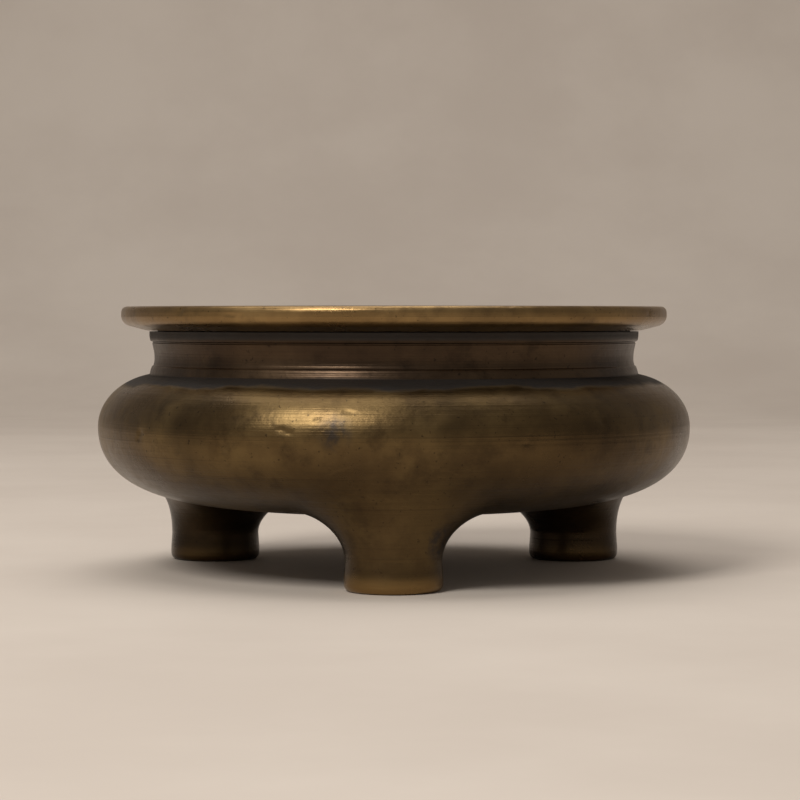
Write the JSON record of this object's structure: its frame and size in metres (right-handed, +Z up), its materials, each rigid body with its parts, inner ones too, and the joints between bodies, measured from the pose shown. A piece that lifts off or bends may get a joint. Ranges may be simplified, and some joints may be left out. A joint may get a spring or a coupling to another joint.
{
  "type": "incense burner",
  "caption": "Low round bronze incense burner with a wide flat rim, a banded neck, a swelling belly and stout column feet in a tripod; it holds an ash bed for incense.",
  "frame": {"origin": "on the ground, under the middle of the burner", "axes": "+Z up along the burner's axis; the front foot stands towards -Y; +X to the right seen from the front"},
  "size_m": [0.1628, 0.1628, 0.0723],
  "materials": {
    "rim_bronze": "worn golden-brown bronze, satin polish",
    "neck_bronze": "dark brown patinated bronze, satin",
    "belly_bronze": "olive-brown patinated bronze, soft polish",
    "foot_bronze": "dark brown patinated bronze, worn golden at the base",
    "pin_bronze": "dull bronze"
  },
  "bodies": {
    "root": {"rim_ring": "rim_bronze", "neck_collar": "neck_bronze", "belly_shell": "belly_bronze", "foot_front": "foot_bronze", "foot_right": "foot_bronze", "foot_left": "foot_bronze", "foot_pin_front": "pin_bronze", "foot_pin_right": "pin_bronze", "foot_pin_left": "pin_bronze"}
  },
  "joints": []
}
